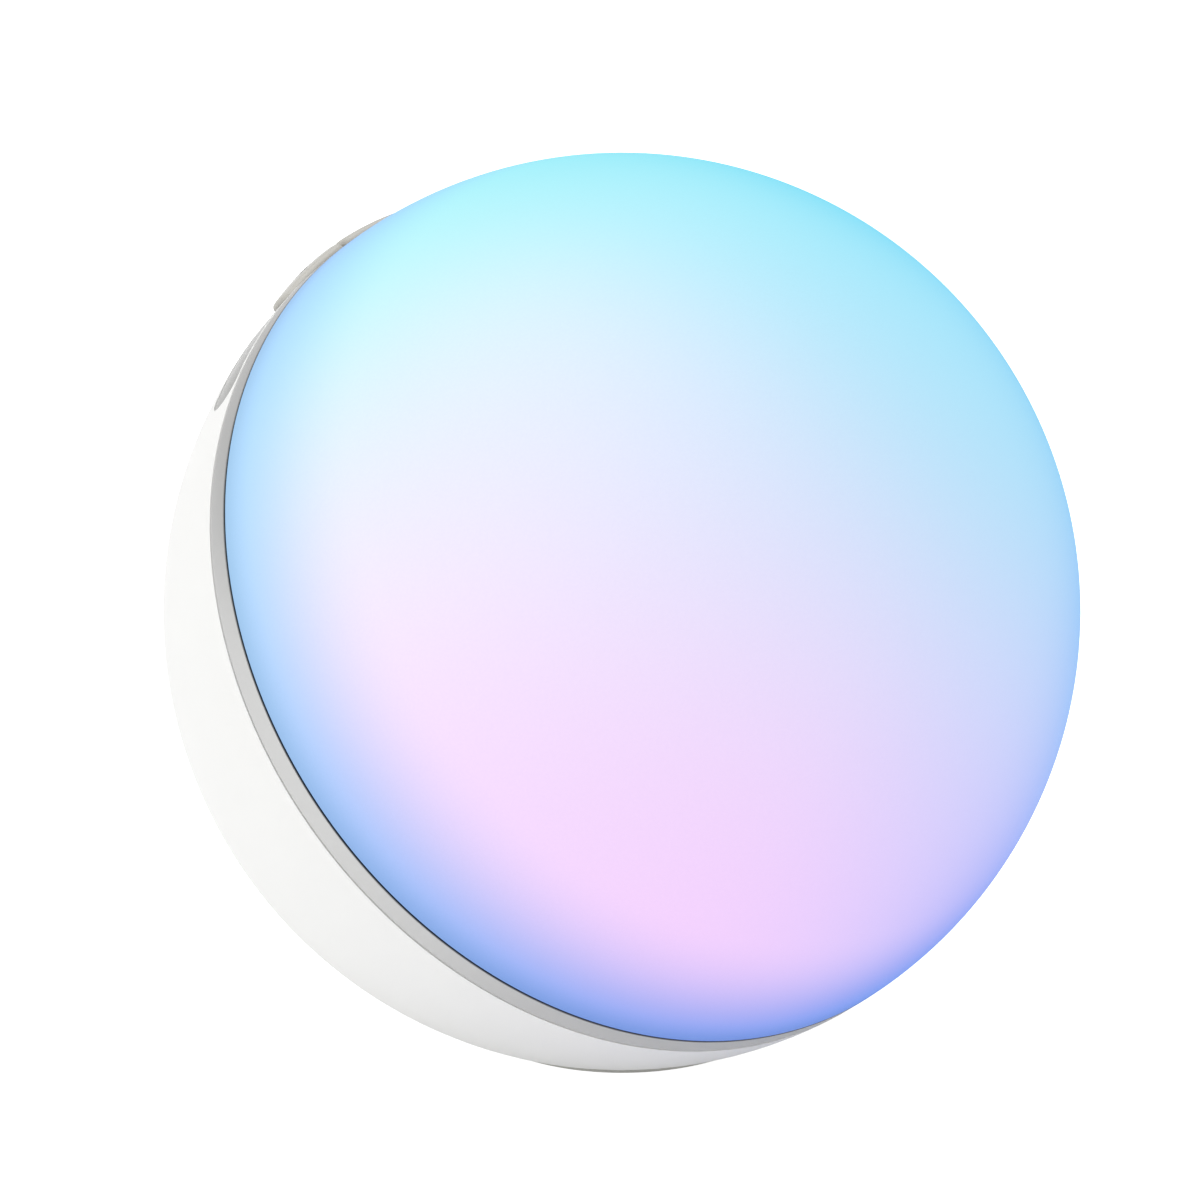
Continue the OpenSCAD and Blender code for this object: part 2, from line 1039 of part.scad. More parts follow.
module light_screws() {
    color([0.6, 0.6, 0.62])
        tilted()
            around(light_screw_a, light_screw_r)
                translate([0, 0, led_z])
                    screw(small_shank_r, 5.1, 2, 1.2);
}

module board_screws() {
    color([0.6, 0.6, 0.62])
        tilted()
            around(board_post_a, board_post_r)
                translate([0, 0, main_rear])
                    rotate([180, 0, 0])
                        screw(shank_r, 8, 2.2, 1.4);
}

module speaker_screws() {
    color([0.6, 0.6, 0.62])
        tilted()
            around(ear_a, 27.6)
                translate([0, 0, basket_back])
                    screw(small_shank_r, 6, 1.9, 1.2);
}

module chamber_screws() {
    color([0.6, 0.6, 0.62])
        tilted()
            around(ear_a, ear_post_r)
                translate([0, 0, ear_low + 2.4])
                    screw(shank_r, 6.8, 2.4, 1.6);
}

module base_screws() {
    color([0.6, 0.6, 0.62])
        around(base_screw_a, base_screw_r)
            translate([0, 0, foot_t + 1.5])
                rotate([180, 0, 0])
                    screw(shank_r, 7, 2.4, 1.4);
}

front_diffuser();
trim_ring();
rear_shell();
control_strip();
key_light();
key_minus();
key_plus();
key_play();
key_mat();
key_switches();
key_board();
key_bracket();
mic_modules();
mic_gaskets();
mid_frame();
heat_spreader();
led_board();
leds();
reflector();
diffuser_sheet();
main_board();
shield_cans();
board_chips();
board_connectors();
antenna_board();
antenna_lead();
port_board();
usb_c_port();
usb_c_tongue();
port_lead();
speaker_grille();
grille_cloth();
speaker_gasket();
speaker_basket();
top_plate();
magnet();
yoke();
voice_coil();
speaker_cone();
dust_cap();
surround();
spider();
speaker_terminals();
speaker_wire();
speaker_chamber();
ballast_weight();
base_plate();
foot_ring();
frame_screws();
light_screws();
board_screws();
speaker_screws();
chamber_screws();
base_screws();
led_lead();
key_flex();
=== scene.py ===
"""Looks of the globe lamp and speaker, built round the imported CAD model. Metres, Z up."""

import math

import bmesh
import bpy
from mathutils import Matrix, Vector


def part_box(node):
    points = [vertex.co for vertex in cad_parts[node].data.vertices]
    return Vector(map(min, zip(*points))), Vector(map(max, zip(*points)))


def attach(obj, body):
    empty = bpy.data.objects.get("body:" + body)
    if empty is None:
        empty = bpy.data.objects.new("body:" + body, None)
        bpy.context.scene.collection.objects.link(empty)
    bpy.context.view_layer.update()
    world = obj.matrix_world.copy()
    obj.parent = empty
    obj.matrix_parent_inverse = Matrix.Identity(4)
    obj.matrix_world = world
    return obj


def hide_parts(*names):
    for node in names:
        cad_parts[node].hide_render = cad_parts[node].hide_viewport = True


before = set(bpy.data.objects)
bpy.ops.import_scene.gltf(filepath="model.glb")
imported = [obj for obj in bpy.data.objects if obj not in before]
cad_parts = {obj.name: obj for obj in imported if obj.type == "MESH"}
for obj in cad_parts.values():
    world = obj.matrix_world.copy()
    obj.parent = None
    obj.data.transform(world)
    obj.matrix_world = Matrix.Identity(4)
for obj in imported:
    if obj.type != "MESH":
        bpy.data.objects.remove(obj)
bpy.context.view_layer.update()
MM = 0.001

# ---------- where things are ----------

dome_low, dome_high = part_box("front_diffuser")
GLOBE_R = (dome_high.x - dome_low.x) / 2
CENTRE = Vector((0, 0, dome_high.z - GLOBE_R))
DOME_TILT = math.radians(39)

# The globe's own frame: +Z out through the dome, +Y to the top of the seam
TILTED = Matrix.Translation(CENTRE) @ Matrix.Rotation(math.pi / 2 - DOME_TILT, 4, "X")

WALL = 2.6 * MM
EDGE_FILLET = 0.3 * MM
BAND_FRONT_FILLET = 0.12 * MM
BAND_FLANGE = 0.7 * MM

# Along the dome's axis
BAND_W = 4.8 * MM
BAND_FRONT = 2.85 * MM
BAND_REAR = BAND_FRONT - BAND_W
BAND_REAR_FILLET = 0.5 * MM
SHELL_EDGE = BAND_REAR - 0.12 * MM
DOME_EDGE = BAND_FRONT + 0.3 * MM
SKIRT_LOW = 0.3 * MM
SKIRT_HIGH = 8 * MM

# Away from the dome's axis
SKIRT_OUT = GLOBE_R - 2.4 * MM
SKIRT_IN = SKIRT_OUT - 2.2 * MM
FRAME_R = GLOBE_R - 4.8 * MM

# The key row: part of a smaller circle whose centre is above the globe's
STRIP_W = 8.8 * MM
SHELL_LIP = 0.93 * MM
STRIP_Z = BAND_REAR - SHELL_LIP - STRIP_W / 2
ROW_R = 66.4 * MM
KEY_RISE = 2.8 * MM
ROW_SHIFT = math.sqrt((GLOBE_R + KEY_RISE) ** 2 - STRIP_Z**2) - ROW_R
ROW_ANGLE = math.radians(62.8)
KEY_GAP = math.radians(0.75)
KEY_NAMES = ["key_light", "key_minus", "key_plus", "key_play"]
KEY_ANGLE = (ROW_ANGLE - (len(KEY_NAMES) - 1) * KEY_GAP) / len(KEY_NAMES)
KEY_W = 6.6 * MM
KEY_CROWN_R = 10 * MM
KEY_SHOULDER = 1.2 * MM
KEY_END_FILLET = 1.1 * MM
KEY_LOW = 73.4 * MM
KEY_FLANGE_IN = GLOBE_R - 6.8 * MM
KEY_FLANGE_T = 1 * MM
KEY_FLANGE_W = KEY_W / 2 + 0.8 * MM
KEY_FLANGE_ANGLE = math.radians(5.9)
KEY_STEM_R = 1.8 * MM
KEY_STEM_LOW = KEY_FLANGE_IN - 0.8 * MM

# The symbols on the keys
SYMBOL_RISE = 0.03 * MM
SYMBOL_SINK = 0.2 * MM
SYMBOL_ARM = 1.3 * MM
SYMBOL_BAR = 0.28 * MM
RAY_HALF_ANGLE = 0.13
RAY_COUNT = 8

# How bright the studio is
FLOOR_SEEN = 0.7
FLOOR_GLOW = 0.13
SKY_LOW = 0.62
SKY_HIGH = 0.72


# ---------- camera, floor and lights ----------

def make_camera():
    """Looks at the middle of the globe from its left, above the horizontal."""
    azimuth = math.radians(-42)
    elevation = math.radians(22)
    distance = 0.96
    away = Vector(
        (
            math.sin(azimuth) * math.cos(elevation),
            -math.cos(azimuth) * math.cos(elevation),
            math.sin(elevation),
        )
    )
    data = bpy.data.cameras.new("camera")
    data.sensor_width = 36
    data.lens = 164.67
    data.shift_x = -0.0183
    data.shift_y = 0.0092
    camera = bpy.data.objects.new("camera", data)
    camera.location = CENTRE + away * distance
    camera.rotation_euler = (-away).to_track_quat("-Z", "Y").to_euler()
    bpy.context.scene.collection.objects.link(camera)
    bpy.context.scene.camera = camera


def make_floor():
    """A wide pale floor that reads as white and throws a little light back up."""
    half = 30.0
    mesh = bpy.data.meshes.new("floor")
    corners = [(-half, -half, 0), (half, -half, 0), (half, half, 0), (-half, half, 0)]
    mesh.from_pydata(corners, [], [(0, 1, 2, 3)])
    floor = bpy.data.objects.new("floor", mesh)
    bpy.context.scene.collection.objects.link(floor)
    nodes = Nodes("studio_floor")
    nodes.shader.inputs["Base Color"].default_value = (0.87, 0.87, 0.87, 1)
    nodes.shader.inputs["Roughness"].default_value = 0.9
    nodes.shader.inputs["Specular IOR Level"].default_value = 0
    rays = nodes.add("ShaderNodeLightPath")
    strength = nodes.math("MULTIPLY_ADD", rays.outputs["Is Camera Ray"], FLOOR_SEEN, FLOOR_GLOW)
    nodes.shader.inputs["Emission Color"].default_value = (1, 1, 1, 1)
    nodes.link(strength, nodes.shader.inputs["Emission Strength"])
    floor.data.materials.append(nodes.material)


def make_world():
    """A pale sky, a little darker overhead than at the horizon, so that satin surfaces shade."""
    world = bpy.data.worlds.new("studio")
    world.use_nodes = True
    tree = world.node_tree
    coords = tree.nodes.new("ShaderNodeTexCoord")
    split = tree.nodes.new("ShaderNodeSeparateXYZ")
    fade = tree.nodes.new("ShaderNodeMapRange")
    fade.inputs["To Min"].default_value = SKY_LOW
    fade.inputs["To Max"].default_value = SKY_HIGH
    tree.links.new(coords.outputs["Generated"], split.inputs[0])
    tree.links.new(split.outputs["Z"], fade.inputs["Value"])
    rays = tree.nodes.new("ShaderNodeLightPath")
    seen = tree.nodes.new("ShaderNodeMath")
    seen.operation = "MAXIMUM"
    tree.links.new(rays.outputs["Is Camera Ray"], seen.inputs[0])
    tree.links.new(fade.outputs["Result"], seen.inputs[1])
    background = tree.nodes["Background"]
    background.inputs["Color"].default_value = (1, 1, 1, 1)
    tree.links.new(seen.outputs[0], background.inputs["Strength"])
    bpy.context.scene.world = world


def soft_light(name, place, size, power):
    """A square area light that faces the globe."""
    data = bpy.data.lights.new(name, "AREA")
    data.shape = "SQUARE"
    data.size = size
    data.energy = power
    light = bpy.data.objects.new(name, data)
    light.location = place
    light.rotation_euler = (CENTRE - Vector(place)).to_track_quat("-Z", "Y").to_euler()
    light.visible_camera = False
    bpy.context.scene.collection.objects.link(light)


def make_lights():
    soft_light("side_panel", (-1.1, 0.25, 0.5), 0.8, 2.9)
    soft_light("top_panel", (0.1, 0.3, 1.6), 1.6, 11.0)
    bpy.context.scene.view_settings.view_transform = "Standard"


# ---------- material helpers ----------

def linear(colour):
    """An sRGB colour in 0 to 255, as the linear colour that nodes take."""
    parts = [c / 255 for c in colour]
    return tuple(p / 12.92 if p <= 0.04045 else ((p + 0.055) / 1.055) ** 2.4 for p in parts)


class Nodes:
    """A new material and short ways to add nodes to it."""

    # Noise stays mostly between these values, so gloss runs over them
    NOISE_LOW = 0.3
    NOISE_HIGH = 0.7

    def __init__(self, name):
        self.material = bpy.data.materials.new(name)
        self.material.use_nodes = True
        self.tree = self.material.node_tree
        self.shader = self.tree.nodes["Principled BSDF"]
        self.coords = self.add("ShaderNodeTexCoord").outputs["Object"]

    def add(self, kind, **settings):
        node = self.tree.nodes.new(kind)
        for key, value in settings.items():
            setattr(node, key, value)
        return node

    def link(self, out, socket):
        self.tree.links.new(out, socket)

    def feed(self, socket, value):
        if isinstance(value, bpy.types.NodeSocket):
            self.link(value, socket)
        else:
            socket.default_value = value

    def math(self, operation, *values, clamp=False):
        node = self.add("ShaderNodeMath", operation=operation, use_clamp=clamp)
        for socket, value in zip(node.inputs, values):
            self.feed(socket, value)
        return node.outputs[0]

    def vector(self, operation, *values, out="Vector"):
        node = self.add("ShaderNodeVectorMath", operation=operation)
        for socket, value in zip(node.inputs, values):
            self.feed(socket, value)
        return node.outputs[out]

    def scaled(self, vector, scale):
        node = self.add("ShaderNodeVectorMath", operation="SCALE")
        self.feed(node.inputs[0], vector)
        self.feed(node.inputs["Scale"], scale)
        return node.outputs["Vector"]

    def mix(self, fac, a, b):
        node = self.add("ShaderNodeMix", data_type="RGBA")
        self.feed(node.inputs["Factor"], fac)
        self.feed(node.inputs["A"], a)
        self.feed(node.inputs["B"], b)
        return node.outputs["Result"]

    def noise(self, size, detail=3.0, roughness=0.55):
        """Noise whose largest lumps are about that size, in metres."""
        node = self.add("ShaderNodeTexNoise")
        self.link(self.coords, node.inputs["Vector"])
        node.inputs["Scale"].default_value = 1 / size
        node.inputs["Detail"].default_value = detail
        node.inputs["Roughness"].default_value = roughness
        return node.outputs["Fac"]

    def span(self, value, low, high, to_low=0.0, to_high=1.0, smooth=True):
        """Maps a value from one range to another, and holds it at the ends."""
        node = self.add("ShaderNodeMapRange")
        node.interpolation_type = "SMOOTHSTEP" if smooth else "LINEAR"
        self.link(value, node.inputs["Value"])
        node.inputs["From Min"].default_value = low
        node.inputs["From Max"].default_value = high
        node.inputs["To Min"].default_value = to_low
        node.inputs["To Max"].default_value = to_high
        return node.outputs["Result"]

    def bump(self, height, depth, strength=1.0):
        """Bumps the surface by a height in 0 to 1 that stands for a depth in metres."""
        node = self.add("ShaderNodeBump")
        node.inputs["Strength"].default_value = strength
        node.inputs["Distance"].default_value = depth
        self.link(height, node.inputs["Height"])
        self.link(node.outputs["Normal"], self.shader.inputs["Normal"])

    def shades(self, fac, dark, light):
        """The base colour runs between two colours."""
        colour = self.mix(fac, (*dark, 1), (*light, 1))
        self.link(colour, self.shader.inputs["Base Color"])
        return colour

    def gloss(self, fac, low, high):
        """Roughness runs between two values."""
        rough = self.span(fac, self.NOISE_LOW, self.NOISE_HIGH, low, high, smooth=False)
        self.link(rough, self.shader.inputs["Roughness"])


# ---------- the glow of the dome ----------

# Where each colour of light sits: polar angle from the dome's axis, angle round it from the
# top of the seam, how far it spreads, and its colour
GLOW_ZONES = [
    (6, 200, 20, (206, 230, 254)),  # middle
    (38, 4, 16, (172, 240, 250)),  # crown
    (20, 50, 16, (158, 234, 252)),  # upper right
    (24, 105, 16, (172, 230, 253)),  # right
    (38, 158, 17, (206, 219, 254)),  # lower right
    (56, 180, 15, (218, 202, 255)),  # violet, bottom
    (60, 212, 16, (249, 208, 255)),  # pink, bottom left
    (34, 222, 18, (246, 220, 255)),  # pink, middle left
    (58, 243, 16, (244, 216, 254)),  # pink, left
    (52, 272, 17, (255, 232, 255)),  # pearl, left
    (56, 302, 16, (228, 243, 255)),  # pale, upper left
    (30, 290, 18, (224, 238, 254)),  # pale, middle left
    (66, 328, 15, (186, 247, 248)),  # mint, top left
    (66, 352, 14, (162, 236, 246)),  # mint, top
    # Far-side zones: darker, more saturated colour, partly the glow's own and partly painted shade of
    # the dome's far edge
    (72, 14, 13, (108, 220, 236)),  # teal, top of the far side
    (56, 42, 16, (64, 206, 238)),  # sky blue, far side
    (54, 88, 15, (84, 186, 235)),  # blue, far right
    (60, 128, 15, (102, 175, 242)),  # blue, far bottom
    (74, 158, 14, (122, 146, 240)),  # violet, far bottom
]
# Rim colours towards the seam: darker blue, partly the glow's own colour and partly painted shade of
# the dome's edge
RIM_BOTTOM = (112, 153, 241)
RIM_SIDE = (172, 216, 255)
RIM_SIDE_CLOCK = 300
RIM_FALLOFF = 3.0

# Polar angles between which the glow turns blue, dims with painted shade towards the seam, and goes
# dark inside the seam as painted shadow in the gap to the band
BLUE_FROM, BLUE_TO = math.radians(64.5), math.radians(90)
DIM_FROM, DIM_TO = math.radians(82), math.radians(92)
SEAM_FROM, SEAM_TO = math.radians(87.6), math.radians(87.76)
RIM_PAINTED_SHADE = 0.7

DOME_GLOW = 0.76
GLOW_PAINTED_INTO_BASE = 0.25
SEAM_PAINTED_SHADE = 0.2
BAND_EDGE_PAINTED_SHADE = 0.3


def dome_direction(polar, clock):
    """A direction in the part's frame, from angles in degrees in the globe's own frame."""
    p, c = math.radians(polar), math.radians(clock)
    local = Vector((math.sin(p) * math.sin(c), math.sin(p) * math.cos(c), math.cos(p)))
    return TILTED.to_3x3() @ local


def glow_zone_group():
    """Adds one zone of light to a running total of weighted colour and weight."""
    group = bpy.data.node_groups.new("glow_zone", "ShaderNodeTree")
    ports = [
        ("Ray", "INPUT", "NodeSocketVector"),
        ("Direction", "INPUT", "NodeSocketVector"),
        ("Tightness", "INPUT", "NodeSocketFloat"),
        ("Colour", "INPUT", "NodeSocketVector"),
        ("Colour Sum", "INPUT", "NodeSocketVector"),
        ("Weight Sum", "INPUT", "NodeSocketFloat"),
        ("Colour Sum", "OUTPUT", "NodeSocketVector"),
        ("Weight Sum", "OUTPUT", "NodeSocketFloat"),
    ]
    for name, way, kind in ports:
        group.interface.new_socket(name=name, in_out=way, socket_type=kind)
    start = group.nodes.new("NodeGroupInput").outputs
    end = group.nodes.new("NodeGroupOutput").inputs

    def step(kind, operation, *values):
        node = group.nodes.new(kind)
        node.operation = operation
        for socket, value in zip(node.inputs, values):
            if isinstance(value, bpy.types.NodeSocket):
                group.links.new(value, socket)
            else:
                socket.default_value = value
        return node

    near = step("ShaderNodeVectorMath", "DOT_PRODUCT", start["Ray"], start["Direction"])
    short = step("ShaderNodeMath", "SUBTRACT", near.outputs["Value"], 1.0)
    tight = step("ShaderNodeMath", "MULTIPLY", short.outputs[0], start["Tightness"])
    weight = step("ShaderNodeMath", "EXPONENT", tight.outputs[0]).outputs[0]
    tint = step("ShaderNodeVectorMath", "SCALE", start["Colour"])
    group.links.new(weight, tint.inputs["Scale"])
    colour = step("ShaderNodeVectorMath", "ADD", start["Colour Sum"], tint.outputs["Vector"])
    total = step("ShaderNodeMath", "ADD", start["Weight Sum"], weight)
    group.links.new(colour.outputs["Vector"], end["Colour Sum"])
    group.links.new(total.outputs[0], end["Weight Sum"])
    return group


def glow_colour(nodes):
    """The colour of the lit dome at each place on it, with painted shade towards the seam and painted
    shadow in the gap at its edge.
    """
    ray = nodes.vector("NORMALIZE", nodes.vector("SUBTRACT", nodes.coords, tuple(CENTRE)))
    group = glow_zone_group()
    colour_sum, weight_sum = (0, 0, 0), 0.0
    for polar, clock, spread, colour in GLOW_ZONES:
        zone = nodes.add("ShaderNodeGroup", node_tree=group)
        nodes.link(ray, zone.inputs["Ray"])
        zone.inputs["Direction"].default_value = dome_direction(polar, clock)
        zone.inputs["Tightness"].default_value = 1 / math.radians(spread) ** 2
        zone.inputs["Colour"].default_value = linear(colour)
        nodes.feed(zone.inputs["Colour Sum"], colour_sum)
        nodes.feed(zone.inputs["Weight Sum"], weight_sum)
        colour_sum, weight_sum = zone.outputs["Colour Sum"], zone.outputs["Weight Sum"]
    glow = nodes.scaled(colour_sum, nodes.math("DIVIDE", 1.0, weight_sum))
    side = nodes.vector("DOT_PRODUCT", ray, tuple(dome_direction(90, RIM_SIDE_CLOCK)), out="Value")
    lift = nodes.math("POWER", nodes.math("MULTIPLY_ADD", side, 0.5, 0.5, clamp=True), RIM_FALLOFF)
    rim = nodes.mix(lift, (*linear(RIM_BOTTOM), 1), (*linear(RIM_SIDE), 1))
    along = nodes.vector("DOT_PRODUCT", ray, tuple(dome_direction(0, 0)), out="Value")
    polar = nodes.math("ARCCOSINE", along)
    blue = nodes.span(polar, BLUE_FROM, BLUE_TO)
    # Painted shade: the glow dims towards the seam
    shade = nodes.span(polar, DIM_FROM, DIM_TO, 1.0, RIM_PAINTED_SHADE)
    lit = nodes.scaled(nodes.mix(blue, glow, rim), shade)
    # Painted shadow in the gap between the dome and the band: the glow drops at the dome's edge
    edge = nodes.span(polar, SEAM_FROM, SEAM_TO, 1.0, SEAM_PAINTED_SHADE)
    return nodes.scaled(lit, edge)


def dome_material():
    """Frosted plastic lit from inside: soft pools of colour, bluer towards the seam; the base colour
    carries the same glow as painted light.
    """
    nodes = Nodes("frosted_glow")
    glow = glow_colour(nodes)
    grain = nodes.noise(0.5 * MM, detail=4)
    # Painted light: the base colour is the glow itself, scaled down, with a fine grain
    body = nodes.scaled(glow, nodes.span(grain, 0.3, 0.7, GLOW_PAINTED_INTO_BASE * 0.97, GLOW_PAINTED_INTO_BASE * 1.03))
    nodes.link(body, nodes.shader.inputs["Base Color"])
    nodes.link(glow, nodes.shader.inputs["Emission Color"])
    nodes.shader.inputs["Emission Strength"].default_value = DOME_GLOW
    nodes.shader.inputs["Specular IOR Level"].default_value = 0.1
    nodes.gloss(grain, 0.5, 0.6)
    nodes.bump(grain, 0.01 * MM, 0.3)
    return nodes.material


# ---------- other materials ----------

BLOOM_ROUGHNESS = 0.22


def moulded_plastic(
    name, colour, roughness=0.4, grain=0.35 * MM, depth=0.012 * MM, specular=0.4, bloom=0.0
):
    """Moulded plastic: a fine grain and a slow change in tone; bloom lightens it at a glance."""
    nodes = Nodes(name)
    base = linear(colour)
    slow = nodes.noise(25 * MM, detail=2)
    fine = nodes.noise(grain, detail=4, roughness=0.6)
    tone = nodes.math("MULTIPLY_ADD", fine, 0.35, nodes.math("MULTIPLY", slow, 0.65))
    nodes.shades(tone, [c * 0.965 for c in base], [min(1, c * 1.03) for c in base])
    nodes.shader.inputs["Specular IOR Level"].default_value = specular
    nodes.gloss(fine, roughness - 0.05, roughness + 0.06)
    nodes.bump(fine, depth, 0.5)
    nodes.shader.inputs["Sheen Weight"].default_value = bloom
    nodes.shader.inputs["Sheen Roughness"].default_value = BLOOM_ROUGHNESS
    return nodes.material


def turned_metal(name, colour, roughness):
    """Metal with fine lines that run round the dome's axis, with painted shade darkening the band's
    front edge where it meets the gap to the dome.
    """
    nodes = Nodes(name)
    base = linear(colour)
    local = nodes.add("ShaderNodeMapping", vector_type="TEXTURE")
    nodes.link(nodes.coords, local.inputs["Vector"])
    local.inputs["Location"].default_value = CENTRE
    local.inputs["Rotation"].default_value = (math.pi / 2 - DOME_TILT, 0, 0)
    split = nodes.add("ShaderNodeSeparateXYZ")
    nodes.link(local.outputs["Vector"], split.inputs[0])
    lines = nodes.add("ShaderNodeTexNoise", noise_dimensions="1D")
    nodes.link(split.outputs["Z"], lines.inputs["W"])
    lines.inputs["Scale"].default_value = 1 / (0.16 * MM)
    lines.inputs["Detail"].default_value = 3
    specks = nodes.noise(0.25 * MM, detail=4, roughness=0.65)
    mixed = nodes.math("MULTIPLY_ADD", lines.outputs["Fac"], 0.5, nodes.math("MULTIPLY", specks, 0.5))
    tint = nodes.shades(mixed, [c * 0.93 for c in base], [min(1, c * 1.07) for c in base])
    # Painted shadow of the gap on the band's front edge
    shade = nodes.span(split.outputs["Z"], BAND_FRONT - 0.3 * MM, BAND_FRONT, 1.0, BAND_EDGE_PAINTED_SHADE)
    nodes.link(nodes.scaled(tint, shade), nodes.shader.inputs["Base Color"])
    nodes.shader.inputs["Metallic"].default_value = 1
    nodes.gloss(mixed, roughness - 0.05, roughness + 0.08)
    nodes.bump(mixed, 0.006 * MM, 0.5)
    return nodes.material


def rubber(name, colour):
    """Soft rubber or silicone: matt, with an uneven skin."""
    nodes = Nodes(name)
    base = linear(colour)
    fine = nodes.noise(0.6 * MM, detail=5, roughness=0.7)
    nodes.shades(fine, [c * 0.8 for c in base], [c * 1.25 for c in base])
    nodes.shader.inputs["Specular IOR Level"].default_value = 0.25
    nodes.gloss(fine, 0.62, 0.8)
    nodes.bump(fine, 0.03 * MM, 0.6)
    return nodes.material


def plain_metal(name, colour, roughness, scale=0.4 * MM):
    """Rolled, cast or plated metal with fine blotches."""
    nodes = Nodes(name)
    base = linear(colour)
    fine = nodes.noise(scale, detail=5, roughness=0.65)
    nodes.shades(fine, [c * 0.85 for c in base], [min(1, c * 1.1) for c in base])
    nodes.shader.inputs["Metallic"].default_value = 1
    nodes.gloss(fine, roughness - 0.08, roughness + 0.1)
    nodes.bump(fine, 0.01 * MM, 0.5)
    return nodes.material


def circuit_board(name, mask, copper):
    """Solder mask over copper: blocky traces and scattered bright pads."""
    nodes = Nodes(name)
    cells = nodes.add("ShaderNodeTexVoronoi", distance="MANHATTAN", feature="F1")
    nodes.link(nodes.coords, cells.inputs["Vector"])
    cells.inputs["Scale"].default_value = 1 / (2.4 * MM)
    traces = nodes.math("FRACT", nodes.math("MULTIPLY", cells.outputs["Distance"], 6.0))
    on_trace = nodes.span(traces, 0.42, 0.5)
    board = nodes.mix(on_trace, (*linear(mask), 1), (*[c * 1.5 for c in linear(mask)], 1))
    pads = nodes.add("ShaderNodeTexVoronoi", feature="F1")
    nodes.link(nodes.coords, pads.inputs["Vector"])
    pads.inputs["Scale"].default_value = 1 / (1.9 * MM)
    on_pad = nodes.math("LESS_THAN", pads.outputs["Distance"], 0.16)
    colour = nodes.mix(on_pad, board, (*linear(copper), 1))
    nodes.link(colour, nodes.shader.inputs["Base Color"])
    nodes.link(nodes.span(on_pad, 0, 1, 0.35, 0.22), nodes.shader.inputs["Roughness"])
    nodes.bump(on_trace, 0.03 * MM, 0.5)
    return nodes.material


def woven(name, colour, pitch):
    """Cloth: threads that cross at the pitch given, with uneven dye."""
    nodes = Nodes(name)
    base = linear(colour)
    split = nodes.add("ShaderNodeSeparateXYZ")
    nodes.link(nodes.coords, split.inputs[0])
    turn = 2 * math.pi / pitch
    across = nodes.math("SINE", nodes.math("MULTIPLY", split.outputs["X"], turn))
    down = nodes.math("SINE", nodes.math("MULTIPLY", split.outputs["Z"], turn))
    weave = nodes.math("MULTIPLY_ADD", nodes.math("MULTIPLY", across, down), 0.5, 0.5)
    fuzz = nodes.noise(pitch * 0.6, detail=3)
    mixed = nodes.math("MULTIPLY_ADD", weave, 0.7, nodes.math("MULTIPLY", fuzz, 0.3))
    nodes.shades(mixed, [c * 0.55 for c in base], [min(1, c * 1.35) for c in base])
    nodes.shader.inputs["Roughness"].default_value = 0.9
    nodes.shader.inputs["Specular IOR Level"].default_value = 0.15
    nodes.bump(mixed, 0.1 * MM, 0.7)
    return nodes.material


def coil_wire(name, colour, pitch):
    """Fine enamelled wire wound round the dome's axis, with painted shade in the grooves between
    turns.
    """
    nodes = Nodes(name)
    base = linear(colour)
    axis = dome_direction(0, 0)
    along = nodes.vector("DOT_PRODUCT", nodes.coords, tuple(axis), out="Value")
    ridge = nodes.math("SINE", nodes.math("MULTIPLY", along, 2 * math.pi / pitch))
    turns = nodes.math("MULTIPLY_ADD", ridge, 0.5, 0.5)
    fine = nodes.noise(0.8 * MM)
    mixed = nodes.math("MULTIPLY_ADD", turns, 0.75, nodes.math("MULTIPLY", fine, 0.25))
    # Painted shade: darker in the grooves between turns
    nodes.shades(mixed, [c * 0.55 for c in base], [min(1, c * 1.2) for c in base])
    nodes.shader.inputs["Metallic"].default_value = 0.9
    nodes.shader.inputs["Roughness"].default_value = 0.3
    nodes.bump(turns, 0.08 * MM, 0.8)
    return nodes.material


def slot_materials():
    """A finish for every material slot that the CAD record names."""
    return {
        "diffuser": dome_material(),
        "band": turned_metal("satin_band", (206, 206, 205), roughness=0.38),
        "shell_white": moulded_plastic("shell_white_satin", (240, 240, 238)),
        "grille_white": moulded_plastic("grille_white_satin", (232, 232, 230), roughness=0.42),
        "strip_grey": moulded_plastic("strip_grey_satin", (118, 118, 114), 0.3, bloom=1.0),
        "key_grey": moulded_plastic("key_grey_satin", (190, 188, 181), 0.3, bloom=1.0),
        "silicone": rubber("silicone_pale", (205, 205, 200)),
        "rubber_black": rubber("foot_rubber", (44, 44, 45)),
        "part_black": moulded_plastic("part_black_matt", (38, 38, 40), roughness=0.55),
        "board_green": circuit_board("board_green_mask", (18, 82, 48), (196, 160, 84)),
        "board_white": circuit_board("board_white_mask", (236, 238, 236), (214, 190, 130)),
        "inner_white": moulded_plastic("inner_white_matt", (240, 240, 238), roughness=0.5),
        "led_yellow": moulded_plastic("led_phosphor", (244, 226, 130), roughness=0.35),
        "spreader": plain_metal("spreader_rolled", (200, 202, 204), roughness=0.35),
        "steel": plain_metal("screw_steel", (170, 171, 173), roughness=0.28),
        "iron": plain_metal("cast_iron", (96, 97, 100), roughness=0.5, scale=1.2 * MM),
        "ferrite": moulded_plastic("ferrite_dark", (40, 41, 43), roughness=0.6, grain=0.7 * MM),
        "gold": plain_metal("contact_gold", (222, 184, 104), roughness=0.22),
        "coil": coil_wire("coil_wire", (190, 112, 50), 0.35 * MM),
        "paper_black": woven("pressed_paper", (40, 40, 42), 0.5 * MM),
        "cloth": woven("acoustic_cloth", (62, 63, 66), 0.7 * MM),
        "lead_red": rubber("lead_sleeve_red", (172, 32, 30)),
        "lead_black": rubber("lead_sleeve_black", (34, 34, 36)),
        "flex": moulded_plastic("flex_amber", (186, 120, 40), roughness=0.3),
    }


